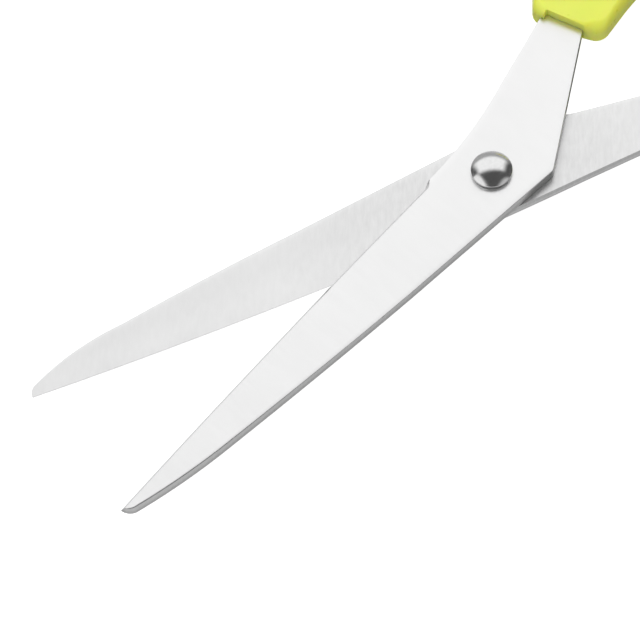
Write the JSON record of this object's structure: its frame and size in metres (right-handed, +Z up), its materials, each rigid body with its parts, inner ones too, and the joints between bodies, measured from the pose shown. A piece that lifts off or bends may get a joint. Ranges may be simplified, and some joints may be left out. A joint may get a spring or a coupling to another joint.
{
  "type": "office scissors",
  "caption": "Office scissors, part open: two pointed steel blades on a domed rivet, with a round thumb loop and a longer finger loop in lime plastic.",
  "frame": {"origin": "on the table, under the middle of the whole object's box in plan, with the scissors lying flat and part open", "axes": "-X towards the blades' tips along the line midway between them, +X towards the loops, +Y towards the thumb loop, +Z up, out of the thumb blade's outer face and along the pivot"},
  "size_m": [0.2014, 0.1046, 0.0097],
  "materials": {
    "blade_steel": "satin, finely ground stainless steel",
    "rivet_steel": "polished, slightly worn",
    "handle_plastic": "moulded, soft gloss, lime yellow"
  },
  "bodies": {
    "finger_half": {"finger_blade": "blade_steel", "finger_handle": "handle_plastic", "pivot_rivet": "rivet_steel", "rivet_washer": "rivet_steel"},
    "thumb_half": {"thumb_blade": "blade_steel", "thumb_handle": "handle_plastic"}
  },
  "joints": [
    {"name": "pivot", "type": "hinge", "parent": "finger_half", "child": "thumb_half", "pos_m": [-0.00168, -0.00828, 0.0048], "axis": [0, 0, 1], "range_deg": [-18, 110]}
  ]
}
